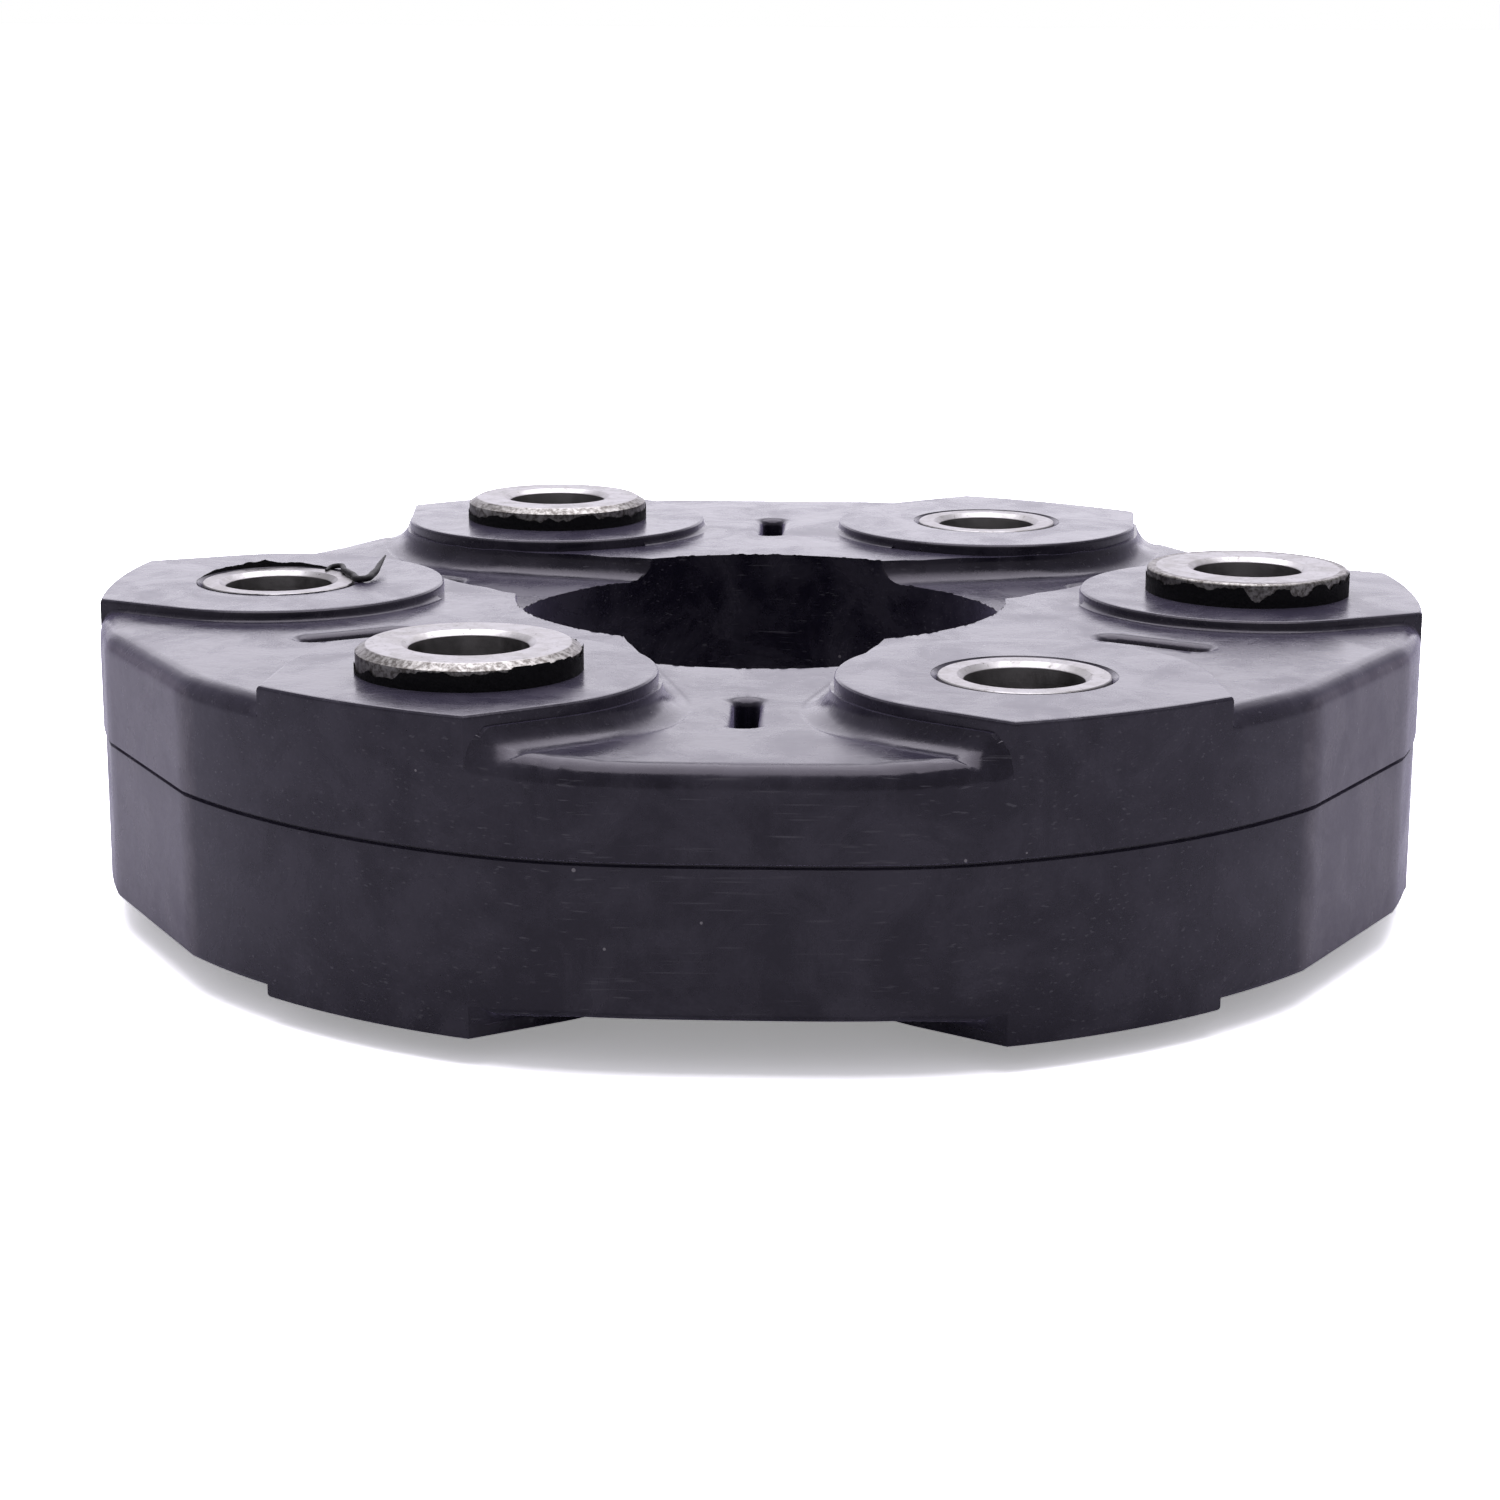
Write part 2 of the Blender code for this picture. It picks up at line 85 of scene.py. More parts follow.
def beside_bolt(bolt, side, out, across):
    """Plan point beside a bolt hole: out is away from the axis, across is towards one side."""
    x, y = polar(1.0, bolt)
    reach = BOLT_CIRCLE + out
    return (x * reach - y * side * across, y * reach + x * side * across)


def draw_loop(bm, points):
    """Closed loop of edges through 3D points, in order."""
    corners = [bm.verts.new(point) for point in points]
    return [bm.edges.new(pair) for pair in zip(corners, corners[1:] + corners[:1])]


def loft(bm, rings):
    """Closed solid through rings of points: each ring is bridged to the next, and the ends are capped."""
    loops = [draw_loop(bm, ring) for ring in rings]
    for first, second in zip(loops, loops[1:]):
        bmesh.ops.bridge_loops(bm, edges=first + second)
    bmesh.ops.edgeloop_fill(bm, edges=loops[0])
    bmesh.ops.edgeloop_fill(bm, edges=loops[-1])


def prism(bm, outline, start, end):
    """Extrude a plan outline from one height to another. Returns the face at the end."""
    base = bm.faces.new([bm.verts.new((x, y, start)) for x, y in outline])
    grown = bmesh.ops.extrude_face_region(bm, geom=[base])["geom"]
    moved = [item for item in grown if isinstance(item, bmesh.types.BMVert)]
    bmesh.ops.translate(bm, vec=(0, 0, end - start), verts=moved)
    return next(item for item in grown if isinstance(item, bmesh.types.BMFace))


def round_edges(bm, edges, radius, segments):
    """Round a set of edges."""
    bmesh.ops.bevel(bm, geom=edges, offset=radius, segments=segments, profile=0.5, affect="EDGES",
                    clamp_overlap=True, material=-1)


def turn_profile(bm, centre, profile, steps):
    """Closed solid turned about a vertical axis, from a profile of radii and heights."""
    start = [(centre[0] + radius, centre[1], height) for radius, height in profile]
    bmesh.ops.spin(bm, geom=draw_loop(bm, start), cent=(*centre, 0), axis=(0, 0, 1),
                   angle=2 * math.pi, steps=steps, use_merge=True)
    bmesh.ops.remove_doubles(bm, verts=bm.verts, dist=MERGE_DISTANCE)
    loose = [edge for edge in bm.edges if edge.is_wire]
    bmesh.ops.delete(bm, geom=loose, context="EDGES")


def add_piece(name, bm, smooth=30, turn_out=True):
    """Turn a bmesh into an object, smooth on its curves and sharp on its edges.

    The result of a Boolean already faces outwards, so it is added with turn_out off."""
    if turn_out:
        bmesh.ops.recalc_face_normals(bm, faces=bm.faces)
    mesh = bpy.data.meshes.new(name)
    bm.to_mesh(mesh)
    bm.free()
    mesh.shade_smooth()
    mesh.set_sharp_from_angle(angle=math.radians(smooth))
    piece = bpy.data.objects.new(name, mesh)
    bpy.context.collection.objects.link(piece)
    return piece


def wall_radius(angle):
    """Distance from the axis to the wall: flat at the high webs, gently swelling at the low ones."""
    off = abs(angle % 60 - 30)
    if 60 * (angle // 60) % 360 + 30 in HIGH_WEBS:
        return min(WALL, FLAT / math.cos(math.radians(off)))
    share = min(off / LOW_FACE_HALF_ANGLE, 1.0)
    return WALL - (WALL - LOW_FACE) * math.cos(math.pi / 2 * share) ** 2


def corner_angle(radius):
    """Angle at the axis from a bolt hole to the corner where its boss meets the wall."""
    taper = math.radians(PAD_TAPER)
    out = BOLT_CIRCLE + radius * math.sin(taper)
    across = radius * math.cos(taper)
    along = out * math.cos(taper) - across * math.sin(taper)
    length = math.sqrt(along ** 2 + WALL ** 2 - out ** 2 - across ** 2) - along
    return math.degrees(math.atan2(across - length * math.sin(taper), out + length * math.cos(taper)))


def stations(stops):
    """Angles from the first stop to the last, close enough for a smooth wall."""
    angles = [stops[0]]
    for start, end in zip(stops, stops[1:]):
        steps = max(1, math.ceil((end - start) / WALL_STEP_ANGLE))
        angles += [start + (end - start) * step / steps for step in range(1, steps + 1)]
    return angles


def wall_outline(inset):
    """Points of the whole outer wall by their angle, with one at each corner that a boss or a flat has."""
    pad = corner_angle(PAD)
    flat_edge = 30 - math.degrees(math.acos(FLAT / WALL))
    angles = set()
    for bolt in range(0, 360, 60):
        for side in (-1, 1):
            high = (bolt + 30 * side) % 360 in HIGH_WEBS
            stops = [0, pad, flat_edge, 30] if high else [0, pad, 30]
            angles |= {round((bolt + side * angle) % 360, 6) for angle in stations(sorted(stops))}
    return {angle: polar(wall_radius(angle) - inset, angle) for angle in sorted(angles)}


def wall_stretch(outline, start, end):
    """Points of the outer wall between two angles, both included."""
    offsets = {round((angle - start) % 360, 5): point for angle, point in outline.items()}
    return [offsets[offset] for offset in sorted(offsets) if offset <= end - start + 1e-5]


def boss_side(bolt, side, radius, last_angle):
    """Plan points round a boss, from where its straight side ends to an angle about the bolt hole."""
    first_angle = 90 - PAD_TAPER
    steps = math.ceil((last_angle - first_angle) / BOSS_STEP_ANGLE)
    turns = [math.radians(first_angle + (last_angle - first_angle) * step / steps)
             for step in range(steps + 1)]
    return [beside_bolt(bolt, side, radius * math.cos(turn), radius * math.sin(turn)) for turn in turns]


def shoulder_end(bolt, side, radius):
    """Where the straight inner end of a shoulder has run out, just inside the central opening."""
    slope = math.radians(SHOULDER_ANGLE)
    out = BOLT_CIRCLE - radius * math.cos(slope)
    across = radius * math.sin(slope)
    along = out * math.sin(slope) + across * math.cos(slope)
    length = along - math.sqrt(along ** 2 + (OPENING - PAST) ** 2 - out ** 2 - across ** 2)
    out -= length * math.sin(slope)
    return beside_bolt(bolt, side, out - BOLT_CIRCLE, across - length * math.cos(slope))


def beyond_shoulder(x, y, bolt, side):
    """How far a plan point lies beyond the ledge of a bolt hole, and how far out along its radius."""
    ux, uy = polar(1.0, bolt)
    out, across = x * ux + y * uy - BOLT_CIRCLE, side * (y * ux - x * uy)
    turn = math.degrees(math.atan2(across, out))
    turn = math.radians(min(max(turn, 90 - PAD_TAPER), 180 - SHOULDER_ANGLE))
    return out * math.cos(turn) + across * math.sin(turn) - LEDGE, out


CREST_RISE = 0.00042
CREST_START = -0.004
CREST_RUN = 0.010
CREST_WIDTH = 0.0004
CREST_FADE = 0.0050
COVE_DIP = 0.0001
MOUTH_ROUND = 0.0018


def cove_depth(beyond, out, high_step, low_step):
    """Depth of the hollow fillet at a shoulder's foot, then of its crest and the slope to the low web."""
    raised = CREST_RISE * min(1.0, max(0.0, (out - CREST_START) / CREST_RUN))
    crest = low_step - raised
    radius = low_step - high_step
    centre = crest + COVE_DIP - radius
    rise = max(0.0, high_step - centre)
    reach = beyond + radius - math.sqrt(radius ** 2 - rise ** 2)
    if reach < radius:
        return centre + math.sqrt(radius ** 2 - (radius - reach) ** 2)
    if reach < radius + CREST_WIDTH:
        return crest + COVE_DIP / 2 * (1 + math.cos(math.pi * (reach - radius) / CREST_WIDTH))
    return crest + raised * min(1.0, (reach - radius - CREST_WIDTH) / CREST_FADE)


def web_depth(x, y, high_step, low_step, edge_radius):
    """Depth of the webs below the pad faces at a plan point, with the rounded edge along the wall."""
    angle = math.degrees(math.atan2(y, x)) % 360
    web = int(60 * (angle // 60) % 360 + 30)
    inset = wall_radius(angle) - math.hypot(x, y)
    depth = high_step
    if web in LOW_WEBS:
        beyond, out = min(beyond_shoulder(x, y, web - 30, 1), beyond_shoulder(x, y, web + 30, -1))
        near = min(MOUTH_ROUND, max(0.0, MOUTH_ROUND - inset))
        beyond += MOUTH_ROUND - math.sqrt(MOUTH_ROUND ** 2 - near ** 2)
        if beyond > 0:
            depth = cove_depth(beyond, out, high_step, low_step)
    over = min(edge_radius, max(0.0, edge_radius - inset))
    return depth + edge_radius - math.sqrt(edge_radius ** 2 - over ** 2)


OUTSIDE_WALL = 0.0003
TAPER_STEPS = 12
INNER_STEPS = 8


def shoulder_line(bolt, side, radius):
    """Plan points along the foot of a shoulder, from just outside the wall to inside the opening."""
    taper = math.radians(PAD_TAPER)
    reach = WALL + OUTSIDE_WALL - BOLT_CIRCLE
    foot = radius * math.sin(taper)
    points = []
    for step in range(TAPER_STEPS + 1):
        out = reach + (foot - reach) * step / TAPER_STEPS
        across = radius * math.cos(taper) - (out - foot) * math.tan(taper)
        points.append(beside_bolt(bolt, side, out, across))
    arc = boss_side(bolt, side, radius, 180 - SHOULDER_ANGLE)
    end = Vector(shoulder_end(bolt, side, radius))
    start = Vector(arc[-1])
    inner = [tuple(start.lerp(end, step / INNER_STEPS)) for step in range(1, INNER_STEPS + 1)]
    return points + arc[1:] + inner


SLOT_END_STEPS = 12


def slot_ring(web, grow, height):
    """Long round-ended ring of points along the middle of a web."""
    ring = []
    for end in (1, -1):
        for step in range(SLOT_END_STEPS + 1):
            turn = math.pi * (step / SLOT_END_STEPS - 0.5) + (0 if end > 0 else math.pi)
            x = SLOT + end * SLOT_HALF_STRAIGHT + (SLOT_HALF_WIDTH + grow) * math.cos(turn)
            y = (SLOT_HALF_WIDTH + grow) * math.sin(turn)
            ring.append((*polar(math.hypot(x, y), web + math.degrees(math.atan2(y, x))), height))
    return ring


ROUND_SHARES = (0.02, 0.07, 0.15, 0.26, 0.40, 0.56, 0.76, 1.0)
FOOT_LINES = (0, 0.04, 0.1, 0.18, 0.3, 0.45, 0.65, 0.9, 1.2, 1.55, 1.95, 2.3, 2.5, 2.62, 2.74, 2.86,
              2.98, 3.2, 4.5, 6.0, 8.0)
SLOT_BORDER = 0.0024


def web_half(inset, pad, up, steps, edge_radius):
    """One half of the moulding without its pads: the webs' relief, and the wall down to the parting line.

    The relief is a triangulation through rings beside the wall, lines beside the shoulders, some tenths of
    a millimetre apart where the cove turns, and a border round each slot."""
    points, lines = [], []

    def draw(line, closed):
        first = len(points)
        points.extend(Vector(point) for point in line)
        numbers = list(range(first, len(points)))
        lines.extend(zip(numbers, numbers[1:] + (numbers[:1] if closed else [])))
        return numbers

    rim = draw(wall_outline(inset).values(), True)
    for share in ROUND_SHARES:
        draw(wall_outline(inset + edge_radius * share).values(), True)
    for web in LOW_WEBS:
        for bolt, side in ((web - 30, 1), (web + 30, -1)):
            for off in FOOT_LINES:
                draw(shoulder_line(bolt, side, LEDGE + off / 1000), False)
    for web in HIGH_WEBS + LOW_WEBS:
        draw([place[:2] for place in slot_ring(web, SLOT_BORDER, 0)], True)
        draw([polar(SLOT + end * SLOT_HALF_STRAIGHT, web) for end in (-1, 0, 1)], False)
    flat, _, faces, _, _, _ = geometry.delaunay_2d_cdt(points, lines, [rim], 1, 1e-7)
    bm = bmesh.new()
    spread = 1 + inset / WALL
    verts = [bm.verts.new((x, y, pad - up * web_depth(x * spread, y * spread, *steps, edge_radius)))
             for x, y in flat]
    for face in faces:
        bm.faces.new([verts[number] for number in face])
    for loose in [vert for vert in bm.verts if not vert.link_faces]:
        bm.verts.remove(loose)
    grown = bmesh.ops.extrude_edge_only(bm, edges=[edge for edge in bm.edges if edge.is_boundary])["geom"]
    foot = [item for item in grown if isinstance(item, bmesh.types.BMEdge) and item.is_boundary]
    for vert in {vert for edge in foot for vert in edge.verts}:
        vert.co.z = PARTING + (0 if up > 0 else PAST / 2)
    bmesh.ops.edgeloop_fill(bm, edges=foot)
    return bm


def pads(inset, start, face_height):
    """The six raised pads: a circle, drawn out to two corners on the wall, with a small round lip."""
    bm = bmesh.new()
    outline = wall_outline(inset)
    corner = corner_angle(PAD)
    for bolt, _ in BOLTS.values():
        left, right = boss_side(bolt, 1, PAD, 180), boss_side(bolt, -1, PAD, 180)[:-1]
        line = wall_stretch(outline, bolt - corner, bolt + corner) + left + right[::-1]
        face = prism(bm, line, start, face_height)
        round_edges(bm, list(face.edges), PAD_LIP, 3)
    return bm


FOOT = 0.0006
FOOT_TURNS = (0, 0, 15, 30, 45, 60, 75, 90)
FOOT_SINK = 1.03
FOOT_END = 170
FOOT_STEPS = 12
FOOT_CORE = (0.010, 0.004)
INSIDE_WALL = 0.00003


def pad_feet(inset, pad, up, steps, edge_radius):
    """Small hollow fillets along the side of each pad that stands on a high web.

    Each is a wedge of rings, sunk into the web and, at its top, into the pad, and closed inside the pad."""
    bm = bmesh.new()
    for bolt, _ in BOLTS.values():
        side = 1 if (bolt + 30) % 360 in HIGH_WEBS else -1
        rings = []
        for turn in FOOT_TURNS:
            out = FOOT * (1 - FOOT_SINK * math.sin(math.radians(turn)))
            rise = FOOT * (1 - math.cos(math.radians(turn))) - (0 if rings else PAST / 4)
            edge = bolt + side * corner_angle(PAD + out)
            arc = boss_side(bolt, side, PAD + out, FOOT_END)
            corner = Vector(polar(wall_radius(edge) - inset - INSIDE_WALL, edge))
            straight = [corner.lerp(Vector(arc[0]), step / FOOT_STEPS) for step in range(FOOT_STEPS)]
            inner = [beside_bolt(bolt, side, reach, FOOT_CORE[1]) for reach in (-FOOT_CORE[0], FOOT_CORE[0])]
            rings.append([(x, y, pad - up * (web_depth(x, y, *steps, edge_radius) - rise))
                          for x, y in straight + arc + inner])
        loft(bm, rings)
    return bm


SLOT_DEPTH = 0.0080
SLOT_LIP = 0.0013
SLOT_LIP_DROP = 0.0009
SLOT_LIP_TURNS = (20, 30, 40, 50, 60, 70, 80, 90)
SLOT_MOUTH = 0.0014
SLOT_MOUTH_LIFT = 0.00009
SLOT_TOOL_END = 0.0015


def slots(high_face, low_face, up):
    """Tools for the six blind radial slots of one side, each with a rounded mouth.

    The lip starts at a slope of 20 degrees, because one that meets the web level leaves slivers."""
    bm = bmesh.new()
    turns = [math.radians(turn) for turn in SLOT_LIP_TURNS]
    lip = [(SLOT_LIP * (1 - math.sin(turn)), SLOT_LIP_DROP * (1 - math.cos(turn))) for turn in turns]
    for web in range(30, 390, 60):
        face = high_face if web in HIGH_WEBS else low_face
        loft(bm, [slot_ring(web, 0, face - up * SLOT_DEPTH)]
             + [slot_ring(web, grow, face - up * drop) for grow, drop in reversed(lip)]
             + [slot_ring(web, SLOT_MOUTH, face + up * SLOT_MOUTH_LIFT),
                slot_ring(web, SLOT_TOOL_END, face + up * PAST)])
    return bm


SLEEVE_BORE = 0.0087
MOUTH = 0.0112
MOUTH_DEPTH = 0.0006
SEAT = 0.0113
SEAT_DEPTH = 0.0018
SEAT_STEPS = 96


def sleeve_seats():
    """Tools for the bore round each sleeve, with a seat for its collar and a mouth at its flush end."""
    bm = bmesh.new()
    for bolt, up in BOLTS.values():
        collar_pad, flush_pad = (UPPER_PAD, LOWER_PAD) if up > 0 else (LOWER_PAD, UPPER_PAD)
        start, end = flush_pad - up * PAST, collar_pad + up * PAST
        turn_profile(bm, polar(BOLT_CIRCLE, bolt),
                     [(0, start), (MOUTH, start), (SLEEVE_BORE, flush_pad + up * MOUTH_DEPTH),
                      (SLEEVE_BORE, collar_pad - up * SEAT_DEPTH), (SEAT, collar_pad - up * SEAT_DEPTH),
                      (SEAT, end), (0, end)], SEAT_STEPS)
    return bm


GROOVE_DEPTH = 0.0007
GROOVE_TOP = 0.00002
GROOVE_BOTTOM = -0.00014
GROOVE_SLOPE = 0.0009


def parting_groove():
    """Tool for the fine groove that the parting line leaves round the wall."""
    bm = bmesh.new()
    section = ((GROOVE_DEPTH, GROOVE_TOP), (-PAST, GROOVE_SLOPE),
               (-PAST, -GROOVE_SLOPE), (GROOVE_DEPTH, GROOVE_BOTTOM))
    loops = [draw_loop(bm, [(x, y, PARTING + height) for x, y in wall_outline(inset).values()])
             for inset, height in section]
    for first, second in zip(loops, loops[1:] + loops[:1]):
        bmesh.ops.bridge_loops(bm, edges=first + second)
    return bm


OPENING_STEPS = 180


def central_opening():
    """Tool for the opening through the middle."""
    bm = bmesh.new()
    bottom, top = LOWER_PAD - PAST, UPPER_PAD + PAST
    turn_profile(bm, (0, 0), [(0, bottom), (OPENING, bottom), (OPENING, top), (0, top)], OPENING_STEPS)
    return bm


def mould(name, body, steps):
    """Unite the tools with the body or cut them away, and keep the result as one plain mesh."""
    tools = []
    for number, (operation, tool) in enumerate(steps):
        tools.append(add_piece("mould_tool_%d" % number, tool))
        boolean = body.modifiers.new("step", "BOOLEAN")
        boolean.operation = operation
        boolean.solver = "EXACT"
        boolean.object = tools[-1]
    graph = bpy.context.evaluated_depsgraph_get()
    mesh = bpy.data.meshes.new_from_object(body.evaluated_get(graph))
    for old in tools + [body]:
        bpy.data.objects.remove(old)
    bm = bmesh.new()
    bm.from_mesh(mesh)
    bmesh.ops.remove_doubles(bm, verts=bm.verts, dist=MERGE_DISTANCE)
    bmesh.ops.dissolve_degenerate(bm, edges=bm.edges, dist=MERGE_DISTANCE)
    piece = add_piece(name, bm, smooth=24, turn_out=False)
    weighted = piece.modifiers.new("flat faces stay flat", "WEIGHTED_NORMAL")
    weighted.keep_sharp = True
    return piece


upper_low, lower_low = UPPER_PAD - UPPER_LOW_WEB_STEP, LOWER_PAD + LOWER_LOW_WEB_STEP
upper_high, lower_high = UPPER_PAD - UPPER_HIGH_WEB_STEP, LOWER_PAD + LOWER_HIGH_WEB_STEP
upper_steps = (UPPER_HIGH_WEB_STEP, UPPER_LOW_WEB_STEP)
lower_steps = (LOWER_HIGH_WEB_STEP, LOWER_LOW_WEB_STEP)
upper_half = add_piece("mould_block", web_half(0, UPPER_PAD, 1, upper_steps, UPPER_ROUND))
rubber = mould("rubber_moulding", upper_half, [
    ("UNION", pads(0, PARTING + 2 * PAST, UPPER_PAD)),
    ("UNION", web_half(MOULD_STEP, LOWER_PAD, -1, lower_steps, LOWER_ROUND)),
    ("UNION", pads(MOULD_STEP, PARTING - 2 * PAST, LOWER_PAD)),
    ("UNION", pad_feet(0, UPPER_PAD, 1, upper_steps, UPPER_ROUND)),
    ("DIFFERENCE", central_opening()),
    ("DIFFERENCE", slots(upper_high, upper_low, 1)),
    ("DIFFERENCE", slots(lower_high, lower_low, -1)),
    ("DIFFERENCE", parting_groove()),
    ("DIFFERENCE", sleeve_seats())])
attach(rubber, "root")
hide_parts("rubber_body")


def add_node(tree, kind, values=None, **settings):
    """One shader node, with its settings and the values or links of its inputs."""
    made = tree.nodes.new(kind)
    for name, value in settings.items():
        setattr(made, name, value)
    for name, value in (values or {}).items():
        socket = made.inputs[name]
        if isinstance(value, bpy.types.NodeSocket):
            tree.links.new(value, socket)
        else:
            socket.default_value = value
    return made


def shader_group(name, inputs, outputs):
    """An empty shader group with named inputs and outputs."""
    tree = bpy.data.node_groups.new(name, "ShaderNodeTree")
    for label, kind, value in inputs:
        socket = tree.interface.new_socket(label, in_out="INPUT", socket_type=kind)
        if value is not None:
            socket.default_value = value
    for label, kind in outputs:
        tree.interface.new_socket(label, in_out="OUTPUT", socket_type=kind)
    return tree, tree.nodes.new("NodeGroupInput"), tree.nodes.new("NodeGroupOutput")


SCRATCH_RUNS = ((0.35, 26.0), (-0.9, 34.0), (1.5, 30.0))


def rubbed_marks():
    """Shader group: faint smears that handling leaves, and short scratches in three directions."""
    tree, given, result = shader_group(
        "rubbed_marks", [("Coordinates", "NodeSocketVector", None), ("Smear Scale", "NodeSocketFloat", 60.0),
                         ("Scratch Scale", "NodeSocketFloat", 90.0)],
        [("Smear", "NodeSocketFloat"), ("Scratch", "NodeSocketFloat")])
    smear = add_node(tree, "ShaderNodeTexNoise", {
        "Vector": given.outputs["Coordinates"], "Scale": given.outputs["Smear Scale"], "Detail": 7.0,
        "Roughness": 0.68, "Distortion": 0.5})
    smear_range = add_node(tree, "ShaderNodeMapRange", {"Value": smear.outputs["Fac"], "From Min": 0.36,
                           "From Max": 0.68}, interpolation_type="SMOOTHSTEP")
    tree.links.new(smear_range.outputs["Result"], result.inputs["Smear"])
    masks = []
    for turn, stretch in SCRATCH_RUNS:
        turned = add_node(tree, "ShaderNodeMapping", {"Vector": given.outputs["Coordinates"],
                          "Rotation": (0.25, 0.3, turn), "Scale": (1.0, stretch, stretch)})
        line = add_node(tree, "ShaderNodeTexNoise", {"Vector": turned.outputs["Vector"],
                        "Scale": given.outputs["Scratch Scale"], "Detail": 1.0})
        masks.append(add_node(tree, "ShaderNodeMapRange", {"Value": line.outputs["Fac"], "From Min": 0.68,
                              "From Max": 0.80}, interpolation_type="SMOOTHSTEP").outputs["Result"])
    both = add_node(tree, "ShaderNodeMath", {0: masks[0], 1: masks[1]}, operation="MAXIMUM")
    every = add_node(tree, "ShaderNodeMath", {0: both.outputs["Value"], 1: masks[2]}, operation="MAXIMUM")
    tree.links.new(every.outputs["Value"], result.inputs["Scratch"])
    return tree


def moulded_grain():
    """Shader group: the fine grain and soft lumps of a moulded surface, as a height."""
    tree, given, result = shader_group(
        "moulded_grain",
        [("Coordinates", "NodeSocketVector", None), ("Grain Scale", "NodeSocketFloat", 1500.0),
         ("Lump Scale", "NodeSocketFloat", 220.0)],
        [("Height", "NodeSocketFloat")])
    grain = add_node(tree, "ShaderNodeTexNoise", {"Vector": given.outputs["Coordinates"],
                     "Scale": given.outputs["Grain Scale"], "Detail": 3.0, "Roughness": 0.6})
    lumps = add_node(tree, "ShaderNodeTexNoise", {"Vector": given.outputs["Coordinates"],
                     "Scale": given.outputs["Lump Scale"], "Detail": 3.0, "Roughness": 0.5})
    fine = add_node(tree, "ShaderNodeMath", {0: grain.outputs["Fac"], 1: 0.35}, operation="MULTIPLY")
    total = add_node(tree, "ShaderNodeMath", {0: fine.outputs["Value"], 1: lumps.outputs["Fac"]},
                     operation="ADD")
    tree.links.new(total.outputs["Value"], result.inputs["Height"])
    return tree


RUBBED_MARKS = rubbed_marks()
MOULDED_GRAIN = moulded_grain()


def new_material(name):
    """A material with its Principled shader, and the object's own coordinates."""
    material = bpy.data.materials.new(name)
    material.use_nodes = True
    tree = material.node_tree
    place = add_node(tree, "ShaderNodeTexCoord")
    return material, tree, tree.nodes["Principled BSDF"], place.outputs["Object"]


def use_group(tree, group, values):
    """Place a shader group in a material."""
    made = tree.nodes.new("ShaderNodeGroup")
    made.node_tree = group
    for name, value in values.items():
        if isinstance(value, bpy.types.NodeSocket):
            tree.links.new(value, made.inputs[name])
        else:
            made.inputs[name].default_value = value
    return made


def mixed_colour(tree, share, first, second):
    """Colour between two colours by a mask."""
    mix = add_node(tree, "ShaderNodeMix", {"Factor": share}, data_type="RGBA")
    for socket, value in ((mix.inputs[6], first), (mix.inputs[7], second)):
        if isinstance(value, bpy.types.NodeSocket):
            tree.links.new(value, socket)
        else:
            socket.default_value = (*value, 1.0)
    return mix.outputs[2]


def flat_faces(tree, place):
    """Mask of the three flat faces on the wall, which are painted lighter for the light that they catch from
    the side.
    """
    reach = None
    for web in HIGH_WEBS:
        out = add_node(tree, "ShaderNodeVectorMath", {0: place, 1: (*polar(1.0, web), 0.0)},
                       operation="DOT_PRODUCT").outputs["Value"]
        if reach:
            out = add_node(tree, "ShaderNodeMath", {0: reach, 1: out}, operation="MAXIMUM").outputs["Value"]
        reach = out
    return add_node(tree, "ShaderNodeMapRange", {"Value": reach, "From Min": FLAT - 0.0006,
                    "From Max": FLAT - 0.0003}).outputs["Result"]


RUBBER_BARE = (0.0040, 0.0034, 0.0085)
RUBBER_SMEARED = (0.0225, 0.0205, 0.0300)
# The three wall flats are painted lighter. This is painted light, for the light that they catch from the side.
# Their smears are the same as on the rest.
FLAT_BARE_PAINTED_LIGHTER = (0.022, 0.017, 0.024)
FLAT_SMEARED_PAINTED_LIGHTER = (0.085, 0.077, 0.087)
SCRATCH = (0.045, 0.043, 0.052)
DUST = (0.16, 0.15, 0.16)


